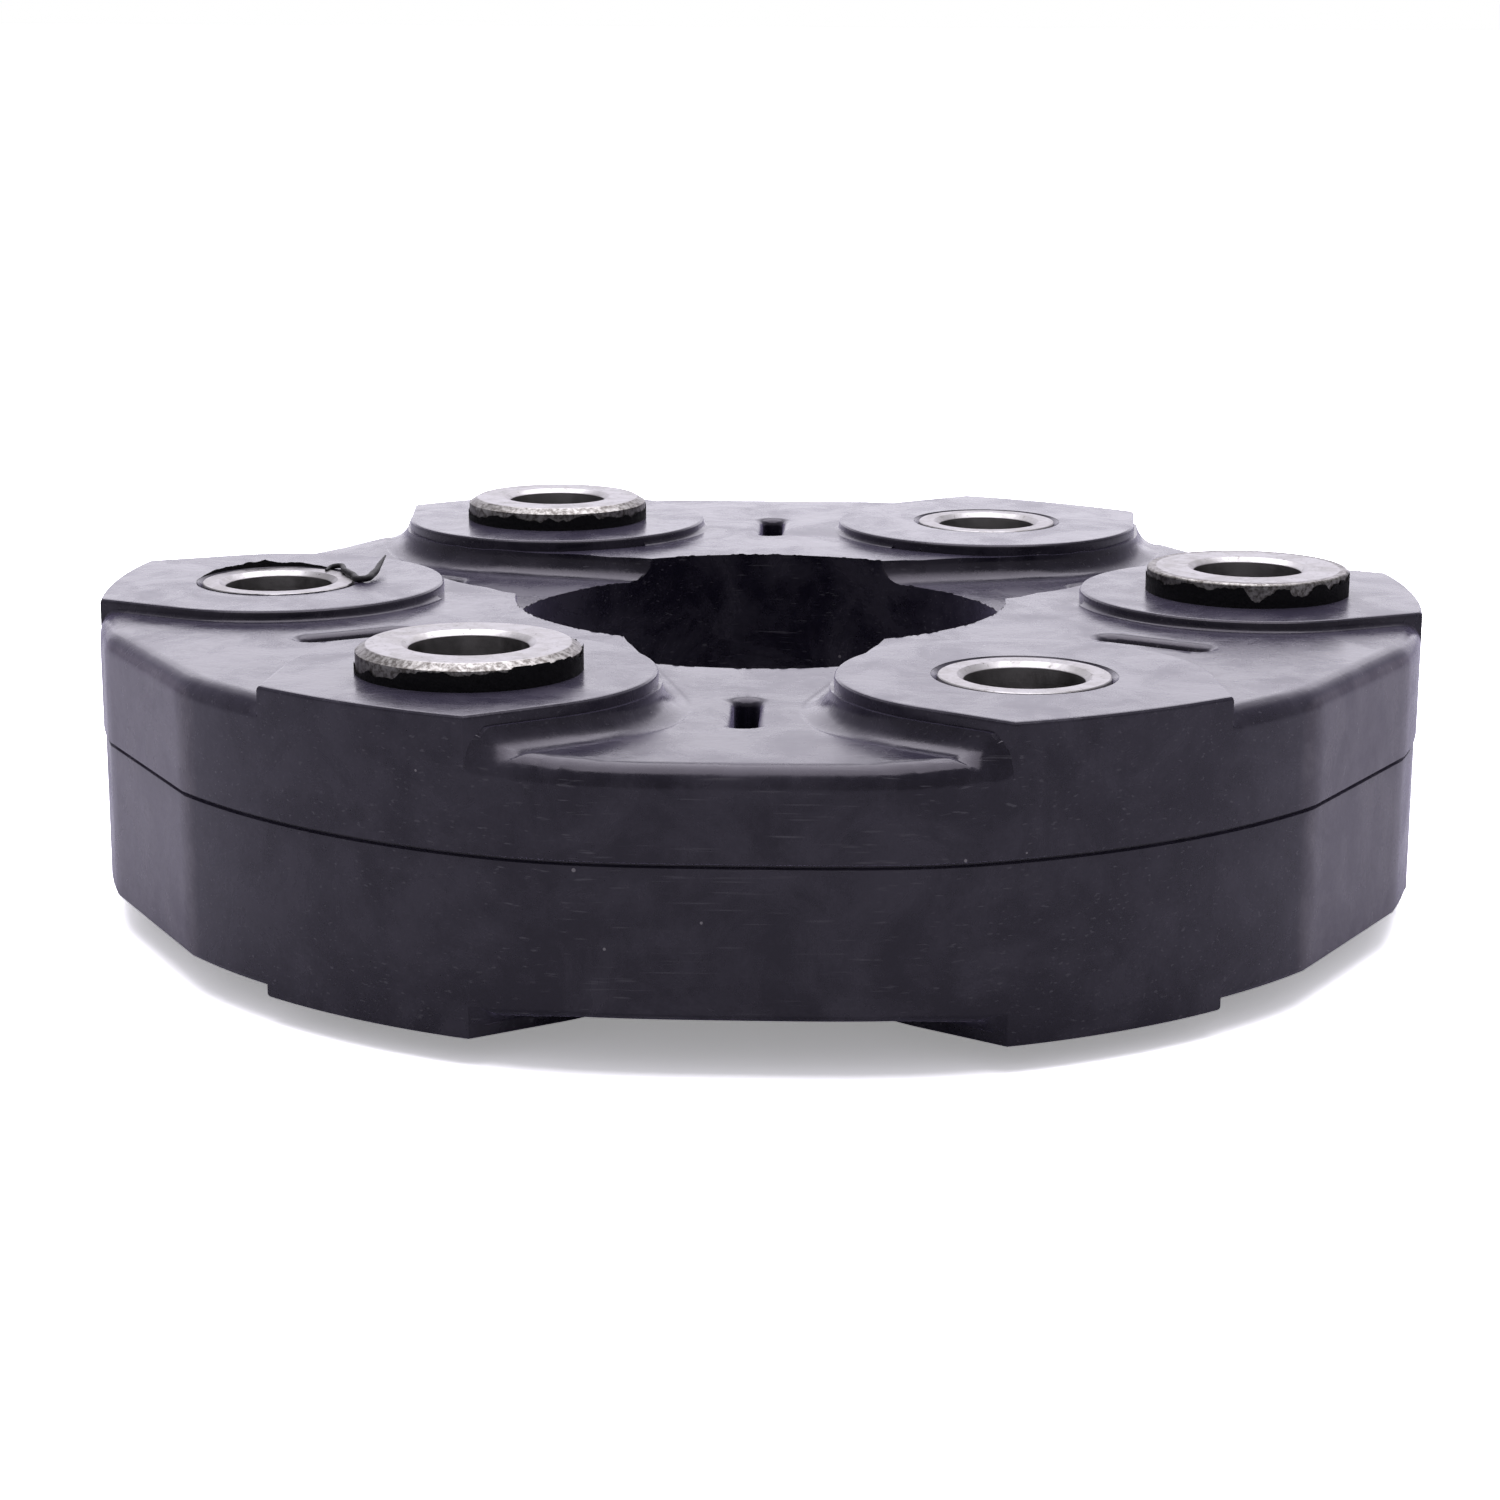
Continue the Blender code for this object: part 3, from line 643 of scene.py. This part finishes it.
def rubber_finish():
    """Black rubber with a blue cast: satin, faintly smeared and scratched, with specks of dust."""
    material, tree, shader, place = new_material("moulded_rubber")
    marks = use_group(tree, RUBBED_MARKS, {"Coordinates": place, "Smear Scale": 105.0})
    grain = use_group(tree, MOULDED_GRAIN, {"Coordinates": place})
    fine = add_node(tree, "ShaderNodeMapRange", {"Value": grain.outputs["Height"], "From Min": 0.45,
                    "From Max": 0.90, "To Min": -0.35, "To Max": 0.35})
    mottled = add_node(tree, "ShaderNodeMath", {0: marks.outputs["Smear"], 1: fine.outputs["Result"]},
                       operation="ADD", use_clamp=True)
    base = mixed_colour(tree, mottled.outputs["Value"], RUBBER_BARE, RUBBER_SMEARED)
    # Painted light: the flats get a lighter colour for the light that they catch from the side.
    flats_painted_lighter = mixed_colour(tree, mottled.outputs["Value"], FLAT_BARE_PAINTED_LIGHTER, FLAT_SMEARED_PAINTED_LIGHTER)
    with_flats_painted_lighter = mixed_colour(tree, flat_faces(tree, place), base, flats_painted_lighter)
    scratched = mixed_colour(tree, marks.outputs["Scratch"], with_flats_painted_lighter, SCRATCH)
    dust = add_node(tree, "ShaderNodeTexVoronoi", {"Vector": place, "Scale": 330.0, "Randomness": 1.0})
    chosen = add_node(tree, "ShaderNodeSeparateColor", {"Color": dust.outputs["Color"]})
    reach = add_node(tree, "ShaderNodeMapRange", {"Value": chosen.outputs["Red"], "From Min": 0.72,
                     "From Max": 1.0, "To Min": 0.0, "To Max": 0.065})
    speck = add_node(tree, "ShaderNodeMath", {0: dust.outputs["Distance"], 1: reach.outputs["Result"]},
                     operation="LESS_THAN")
    colour = mixed_colour(tree, speck.outputs["Value"], scratched, DUST)
    rough = add_node(tree, "ShaderNodeMapRange", {"Value": marks.outputs["Smear"], "To Min": 0.17,
                     "To Max": 0.32})
    bump = add_node(tree, "ShaderNodeBump", {"Height": grain.outputs["Height"], "Strength": 0.42,
                    "Distance": 0.00008})
    tree.links.new(colour, shader.inputs["Base Color"])
    tree.links.new(rough.outputs["Result"], shader.inputs["Roughness"])
    tree.links.new(bump.outputs["Normal"], shader.inputs["Normal"])
    shader.inputs["Specular IOR Level"].default_value = 0.5
    shader.inputs["Specular Tint"].default_value = (0.96, 0.90, 1.0, 1.0)
    shader.inputs["Sheen Weight"].default_value = 0.26
    shader.inputs["Sheen Roughness"].default_value = 0.45
    shader.inputs["Sheen Tint"].default_value = (0.74, 0.66, 1.0, 1.0)
    return material


TORN_DEEP = (0.0030, 0.0028, 0.0045)
TORN_RAISED = (0.0110, 0.0100, 0.0130)


def torn_finish():
    """Torn rubber: matt and blacker than the moulded skin, with a crumbly surface."""
    material, tree, shader, place = new_material("torn_rubber")
    grain = use_group(tree, MOULDED_GRAIN, {"Coordinates": place, "Lump Scale": 1400.0,
                                            "Grain Scale": 5200.0})
    colour = mixed_colour(tree, grain.outputs["Height"], TORN_DEEP, TORN_RAISED)
    bump = add_node(tree, "ShaderNodeBump", {"Height": grain.outputs["Height"], "Strength": 0.8,
                    "Distance": 0.00012})
    tree.links.new(colour, shader.inputs["Base Color"])
    tree.links.new(bump.outputs["Normal"], shader.inputs["Normal"])
    shader.inputs["Roughness"].default_value = 0.55
    shader.inputs["Specular IOR Level"].default_value = 0.35
    return material


RUBBER = rubber_finish()
TORN_RUBBER = torn_finish()
rubber.data.materials.append(RUBBER)

# Steel sleeves. Each is turned from bar, with a collar at one end, and takes one flange bolt through it.
# The collars stand out of the rubber on alternate sides, and the other ends lie flush with the pads.
SLEEVE_LENGTH = 0.0343
SLEEVE_RADIUS = 0.0086
SLEEVE_BREAK = 0.0001
BORE_RADIUS = 0.0060
COLLAR_RADIUS = 0.01125
COLLAR_DEPTH = 0.0042
COLLAR_CHAMFER = (0.0010, 0.00065)
PLAIN_CHAMFER = (0.0002, 0.0002)
SLEEVE_STEPS = 128


def sleeve_profile(plain):
    """Half section of a sleeve, from its flush end: radii and heights. A plain collar has a crisp edge."""
    chamfer, drop = PLAIN_CHAMFER if plain else COLLAR_CHAMFER
    seat = SLEEVE_LENGTH - COLLAR_DEPTH
    return [(0.00670, 0), (SLEEVE_RADIUS - SLEEVE_BREAK, 0), (SLEEVE_RADIUS, SLEEVE_BREAK),
            (SLEEVE_RADIUS, seat), (COLLAR_RADIUS - 0.0002, seat), (COLLAR_RADIUS, seat + 0.0002),
            (COLLAR_RADIUS, SLEEVE_LENGTH - drop - 0.00008), (0.01122, SLEEVE_LENGTH - drop),
            (COLLAR_RADIUS - chamfer, SLEEVE_LENGTH - 0.00003),
            (COLLAR_RADIUS - chamfer - 0.00008, SLEEVE_LENGTH), (0.00678, SLEEVE_LENGTH),
            (0.00668, SLEEVE_LENGTH - 0.00004), (0.00604, SLEEVE_LENGTH - 0.00052),
            (BORE_RADIUS, SLEEVE_LENGTH - 0.00062), (BORE_RADIUS, 0.00062), (0.00604, 0.00052)]


def turned_sleeve(name, bolt, up):
    """One sleeve. It keeps its own radius and height on each vertex, for the lathe marks.

    The collar on the right has hardly any chamfer, and the others have a wide one."""
    bm = bmesh.new()
    turn_profile(bm, (0, 0), sleeve_profile(name == "right"), SLEEVE_STEPS)
    lathe = bm.verts.layers.float_vector.new("lathe")
    for vert in bm.verts:
        vert[lathe] = (vert.co.xy.length, vert.co.z, 0)
    if up < 0:
        bmesh.ops.rotate(bm, cent=(0, 0, 0), matrix=Matrix.Rotation(math.pi, 3, "X"), verts=bm.verts)
    x, y = polar(BOLT_CIRCLE, bolt)
    bmesh.ops.translate(bm, vec=(x, y, LOWER_PAD if up > 0 else UPPER_PAD), verts=bm.verts)
    sleeve = add_piece("turned_sleeve_" + name, bm, smooth=28)
    sleeve.modifiers.new("flat faces stay flat", "WEIGHTED_NORMAL").keep_sharp = True
    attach(sleeve, "root")
    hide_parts("sleeve_" + name)
    return sleeve


STEEL_CLEAN = (0.50, 0.49, 0.49)
STEEL_SMEARED = (0.40, 0.39, 0.38)
STEEL_STAIN = (0.14, 0.13, 0.115)
CAST_RAISED = (0.40, 0.39, 0.37)
CAST_DEEP = (0.13, 0.12, 0.11)
BORE_STEEL = (0.36, 0.35, 0.35)


def steel_finish():
    """Turned steel: fine rings from the lathe, matt patches, dark specks and a coarse, unturned chamfer."""
    material, tree, shader, place = new_material("turned_steel")
    lathe = add_node(tree, "ShaderNodeAttribute", attribute_name="lathe").outputs["Vector"]
    split = add_node(tree, "ShaderNodeSeparateXYZ", {"Vector": lathe})
    along = add_node(tree, "ShaderNodeMath", {0: split.outputs["X"], 1: split.outputs["Y"]}, operation="ADD")
    rings = add_node(tree, "ShaderNodeTexNoise", {"W": along.outputs["Value"], "Scale": 9000.0,
                     "Detail": 2.0}, noise_dimensions="1D")
    marks = use_group(tree, RUBBED_MARKS, {"Coordinates": place, "Smear Scale": 420.0,
                                           "Scratch Scale": 260.0})
    specks = add_node(tree, "ShaderNodeTexNoise", {"Vector": place, "Scale": 1800.0, "Detail": 4.0,
                      "Roughness": 0.7})
    dark = add_node(tree, "ShaderNodeMapRange", {"Value": specks.outputs["Fac"], "From Min": 0.60,
                    "From Max": 0.70})
    base = mixed_colour(tree, marks.outputs["Smear"], STEEL_CLEAN, STEEL_SMEARED)
    stained = mixed_colour(tree, dark.outputs["Result"], base, STEEL_STAIN)
    inside = add_node(tree, "ShaderNodeMapRange", {"Value": split.outputs["X"], "From Min": 0.00606,
                      "From Max": 0.0062, "To Min": 1.0, "To Max": 0.0})
    outside = add_node(tree, "ShaderNodeMapRange", {"Value": split.outputs["X"], "From Min": 0.01020,
                       "From Max": 0.01032, "To Min": 0.0, "To Max": 1.0})
    coarse = add_node(tree, "ShaderNodeMapRange", {"Value": specks.outputs["Fac"], "From Min": 0.40,
                      "From Max": 0.60})
    cast = mixed_colour(tree, coarse.outputs["Result"], CAST_RAISED, CAST_DEEP)
    turned = mixed_colour(tree, outside.outputs["Result"], stained, cast)
    colour = mixed_colour(tree, inside.outputs["Result"], turned, BORE_STEEL)
    rough = add_node(tree, "ShaderNodeMapRange", {"Value": marks.outputs["Smear"], "To Min": 0.30,
                     "To Max": 0.46})
    height = add_node(tree, "ShaderNodeMath", {0: rings.outputs["Fac"], 1: specks.outputs["Fac"]},
                      operation="ADD")
    bump = add_node(tree, "ShaderNodeBump", {"Height": height.outputs["Value"], "Strength": 0.3,
                    "Distance": 0.00003})
    tree.links.new(colour, shader.inputs["Base Color"])
    tree.links.new(rough.outputs["Result"], shader.inputs["Roughness"])
    tree.links.new(bump.outputs["Normal"], shader.inputs["Normal"])
    shader.inputs["Metallic"].default_value = 1.0
    shader.inputs["Specular Tint"].default_value = (0.66, 0.65, 0.68, 1.0)
    return material


STEEL = steel_finish()
for name, (bolt, up) in BOLTS.items():
    turned_sleeve(name, bolt, up).data.materials.append(STEEL)

# Torn rubber. The rubber crept up the sides of the collars in the mould and tore off unevenly, and left
# thin flash round the flush rings, along the rim of the opening and in a curl beside the left sleeve.
# Each skin has its share of the collar's side, its lean, the angle that it leans to, and its bites.
COLLAR_SKINS = {"right": (0.78, 0.10, 300, ((270, 9, 0.62), (295, 8, 0.50), (317, 4, 0.30))),
                "back_right": (0.50, 0.15, 90, ()), "back_left": (0.46, 0.06, 300, ()),
                "left": (0.50, 0.15, 180, ()), "front_left": (0.50, 0.42, 325, ((296, 5, 0.15),)),
                "front_right": (0.45, 0.15, 270, ())}
SKIN_RADIUS = 0.01138
SKIN_REACH = 0.0022
RING_FLASH = {"back_right": (0.00010, 0), "left": (0.00055, 115), "front_right": (0.00012, 0)}
RING_FLASH_RADIUS = 0.00925
TALL_HALF_ANGLE = 60


def torn_band(name, centre, radius, feet, edges, thickness, segments):
    """Thin standing band of rubber round a circle, with functions of the angle for its foot and its edge."""
    bm = bmesh.new()
    made = bmesh.ops.create_circle(bm, segments=segments, radius=radius)["verts"]
    grown = bmesh.ops.extrude_edge_only(bm, edges=bm.edges[:])["geom"]
    for vert in [item for item in grown if isinstance(item, bmesh.types.BMVert)]:
        vert.co.z = edges(math.degrees(math.atan2(vert.co.y, vert.co.x)) % 360)
    for vert in made:
        vert.co.z = feet(math.degrees(math.atan2(vert.co.y, vert.co.x)) % 360)
    bmesh.ops.solidify(bm, geom=bm.faces[:], thickness=thickness)
    bmesh.ops.translate(bm, vec=(*centre, 0), verts=bm.verts)
    band = add_piece(name, bm, smooth=50)
    band.data.materials.append(TORN_RUBBER)
    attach(band, "root")


def raggedness(angle, seed):
    """Uneven value about nought along a torn edge: broad waves, small bites and slivers."""
    x, y = polar(1.0, angle)
    spot = Vector((x, y, seed))
    return 0.30 * noise.noise(spot * 3) + 0.22 * noise.noise(spot * 9) + 0.14 * abs(noise.noise(spot * 28))


def collar_skin(name, bolt, up, seed):
    """Torn skin up the side of one collar: it leans to one side, and bites are torn out of its edge."""
    pad = UPPER_PAD if up > 0 else LOWER_PAD
    share, lean, toward, bites = COLLAR_SKINS[name]

    def foot(angle):
        return pad - up * 0.0002

    def edge(angle):
        part = share + lean * math.cos(math.radians(angle - toward)) + raggedness(angle, seed)
        for place, half_width, depth in bites:
            part -= depth * max(0.0, 1 - abs(angle - place) / half_width) ** 0.6
        return pad + up * (0.0001 + SKIN_REACH * min(1.0, max(0.0, part)))

    torn_band("collar_skin_" + name, polar(BOLT_CIRCLE, bolt), SKIN_RADIUS, foot, edge, 0.00012, 360)


def ring_flash(name, height, behind):
    """Thin flash round a flush ring. Where it is tall, it is so only behind the ring."""

    def foot(angle):
        return UPPER_PAD - 0.0006

    def edge(angle):
        tall = 0.12
        if behind and abs(angle - behind) < TALL_HALF_ANGLE:
            tall = max(0.0, math.cos(math.radians(angle - behind) * 1.5))
        return UPPER_PAD + height * tall * (1.1 + 2 * raggedness(angle, height * 9000))

    centre = polar(BOLT_CIRCLE, BOLTS[name][0])
    torn_band("ring_flash_" + name, centre, RING_FLASH_RADIUS, foot, edge, 0.00016, 240)


def rim_flash():
    """Thin uneven flash that stands along the rim of the central opening."""

    def rim(angle):
        return UPPER_PAD - web_depth(*polar(OPENING + 0.0001, angle), *upper_steps, UPPER_ROUND)

    def foot(angle):
        return rim(angle) - 0.0004

    def edge(angle):
        return rim(angle) - 0.00003 + 0.0006 * max(0.0, raggedness(angle * 5, 40.0))

    torn_band("rim_flash", (0, 0), OPENING + 0.00004, foot, edge, 0.00012, 720)


for number, (name, (bolt, up)) in enumerate(BOLTS.items()):
    collar_skin(name, bolt, up, 3.7 * number)
for name, (height, behind) in RING_FLASH.items():
    ring_flash(name, height, behind)
rim_flash()

# Along the curl: its place in plan and its lift above the pad, in millimetres, and its share of the radius.
CURL_ROUTE = ((-50.6, 6.2, 0.1, 0.5), (-49.9, 8.0, 0.3, 0.9), (-48.1, 4.5, 0.4, 1.0), (-46.7, 1.7, 0.4, 1.1),
              (-45.3, -0.8, 0.4, 1.2), (-44.4, 1.6, 0.6, 1.2), (-44.2, 5.2, 1.0, 0.9), (-44.0, 8.6, 1.5, 0.3))
CURL_RADIUS = 0.00034


def torn_curl():
    """The curl of rubber beside the left sleeve: a thread, thickest in the middle, that lifts at its tip."""
    curve = bpy.data.curves.new("torn_curl", "CURVE")
    curve.dimensions = "3D"
    curve.bevel_depth = CURL_RADIUS
    curve.bevel_resolution = 2
    curve.use_fill_caps = True
    line = curve.splines.new("BEZIER")
    line.bezier_points.add(len(CURL_ROUTE) - 1)
    for point, (x, y, lift, share) in zip(line.bezier_points, CURL_ROUTE):
        point.co = (x / 1000, y / 1000, UPPER_PAD + lift / 1000)
        point.radius = share
        point.handle_left_type = point.handle_right_type = "AUTO"
    shape = bpy.data.objects.new("torn_curl_curve", curve)
    bpy.context.collection.objects.link(shape)
    mesh = bpy.data.meshes.new_from_object(shape.evaluated_get(bpy.context.evaluated_depsgraph_get()))
    bpy.data.objects.remove(shape)
    bm = bmesh.new()
    bm.from_mesh(mesh)
    curl = add_piece("torn_curl", bm, smooth=60)
    curl.data.materials.clear()
    curl.data.materials.append(TORN_RUBBER)
    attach(curl, "root")


torn_curl()

# Cord packs. Loops of textile cord, wound round neighbouring sleeves and dipped, lie inside the rubber.
# They are the CAD solids with the cord's own finish.
CORD_VALLEY = (0.30, 0.25, 0.17)
CORD_RIDGE = (0.52, 0.46, 0.34)


def cord_finish():
    """Dipped textile cord: pale brown strands that run along the loop."""
    material, tree, shader, place = new_material("wound_cord")
    strands = add_node(tree, "ShaderNodeTexWave", {"Vector": place, "Scale": 160.0, "Distortion": 1.5,
                       "Detail": 2.0}, bands_direction="Z")
    fibres = add_node(tree, "ShaderNodeTexNoise", {"Vector": place, "Scale": 2400.0, "Detail": 3.0})
    height = add_node(tree, "ShaderNodeMath", {0: strands.outputs["Fac"], 1: fibres.outputs["Fac"]},
                      operation="ADD")
    bump = add_node(tree, "ShaderNodeBump", {"Height": height.outputs["Value"], "Strength": 0.6,
                    "Distance": 0.0002})
    colour = mixed_colour(tree, strands.outputs["Fac"], CORD_VALLEY, CORD_RIDGE)
    tree.links.new(colour, shader.inputs["Base Color"])
    tree.links.new(bump.outputs["Normal"], shader.inputs["Normal"])
    shader.inputs["Roughness"].default_value = 0.85
    return material


CORD = cord_finish()
for name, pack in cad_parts.items():
    if "_cord_" in name:
        pack.data.materials.clear()
        pack.data.materials.append(CORD)

# Floor, light and camera. A white table under a sky that is bright behind the part and dim in front of it,
# two soft boxes, one behind and one above, that give the upper faces their sheen, and the camera of the
# photograph, low and a little to the right.
TABLE = (0.82, 0.82, 0.83)
TABLE_MIRRORED = (0.47, 0.47, 0.50)
TABLE_SEEN = (3.0, 3.0, 3.06)
LIGHT = (1.0, 0.975, 1.05)


def floor_finish():
    """White floor that keeps the shadow. It is white in the picture, and greyer in the light it gives back."""
    material, tree, shader, _ = new_material("white_table")
    seen = add_node(tree, "ShaderNodeLightPath")
    glow = add_node(tree, "ShaderNodeMath", {0: seen.outputs["Is Camera Ray"], 1: 0.28}, operation="MULTIPLY")
    plain = mixed_colour(tree, seen.outputs["Is Glossy Ray"], TABLE, TABLE_MIRRORED)
    white = mixed_colour(tree, seen.outputs["Is Camera Ray"], plain, TABLE_SEEN)
    tree.links.new(white, shader.inputs["Base Color"])
    shader.inputs["Roughness"].default_value = 0.9
    shader.inputs["Specular IOR Level"].default_value = 0.1
    shader.inputs["Emission Color"].default_value = (1.0, 1.0, 1.0, 1.0)
    tree.links.new(glow.outputs["Value"], shader.inputs["Emission Strength"])
    return material


bm = bmesh.new()
bmesh.ops.create_grid(bm, x_segments=1, y_segments=1, size=12.0)
floor = add_piece("table_top", bm)
floor.data.materials.append(floor_finish())

world = bpy.data.worlds.new("pale_sky")
bpy.context.scene.world = world
world.use_nodes = True
sky = world.node_tree
path = add_node(sky, "ShaderNodeLightPath")
toward = add_node(sky, "ShaderNodeTexCoord").outputs["Generated"]
aim = add_node(sky, "ShaderNodeSeparateXYZ", {"Vector": toward})
aside = add_node(sky, "ShaderNodeMath", {0: aim.outputs["X"]}, operation="ABSOLUTE")
open_sky = None
for direction, start, end in ((aim.outputs["Y"], -0.25, 0.40), (aside.outputs["Value"], 0.70, 0.42)):
    part = add_node(sky, "ShaderNodeMapRange", {"Value": direction, "From Min": start, "From Max": end},
                    interpolation_type="SMOOTHSTEP").outputs["Result"]
    if open_sky:
        part = add_node(sky, "ShaderNodeMath", {0: open_sky, 1: part}, operation="MULTIPLY").outputs["Value"]
    open_sky = part
behind = add_node(sky, "ShaderNodeMapRange", {"Value": open_sky, "To Min": 0.30, "To Max": 1.0})
lit = add_node(sky, "ShaderNodeMath", {0: behind.outputs["Result"], 1: path.outputs["Is Camera Ray"]},
               operation="MAXIMUM")
tint = mixed_colour(sky, path.outputs["Is Camera Ray"], LIGHT, (1.0, 1.0, 1.0))
sky.links.new(tint, sky.nodes["Background"].inputs["Color"])
sky.links.new(lit.outputs["Value"], sky.nodes["Background"].inputs["Strength"])


def soft_box(name, place, aim, width, height, power):
    """Rectangular soft box that points at a spot."""
    lamp = bpy.data.lights.new(name, "AREA")
    lamp.shape = "RECTANGLE"
    lamp.size = width
    lamp.size_y = height
    lamp.energy = power
    lamp.color = LIGHT
    box = bpy.data.objects.new(name, lamp)
    bpy.context.collection.objects.link(box)
    box.location = place
    box.rotation_euler = (Vector(aim) - Vector(place)).to_track_quat("-Z", "Y").to_euler()
    box.visible_camera = False


soft_box("soft_box_behind", (0.0, 0.95, 0.30), (0, 0, 0.03), 1.1, 0.60, 1.6)
soft_box("soft_box_above", (0.0, 0.15, 0.85), (0, 0.02, 0.02), 0.80, 1.20, 7.4)

CAMERA_PLACE = (0.010224, -0.353935, 0.098818)
CAMERA_HEADING = 1.833
CAMERA_DIP = 13.308
CAMERA_ROLL = 0.248
camera = bpy.data.objects.new("camera", bpy.data.cameras.new("camera"))
bpy.context.collection.objects.link(camera)
camera.data.sensor_fit = "HORIZONTAL"
camera.data.sensor_width = 36.0
camera.data.lens = 75.928
camera.data.clip_start = 0.01
turn = (Matrix.Rotation(math.radians(CAMERA_HEADING), 4, "Z")
        @ Matrix.Rotation(math.radians(90 - CAMERA_DIP), 4, "X")
        @ Matrix.Rotation(math.radians(CAMERA_ROLL), 4, "Z"))
camera.matrix_world = Matrix.Translation(CAMERA_PLACE) @ turn
bpy.context.scene.camera = camera
bpy.context.scene.view_settings.view_transform = "Standard"
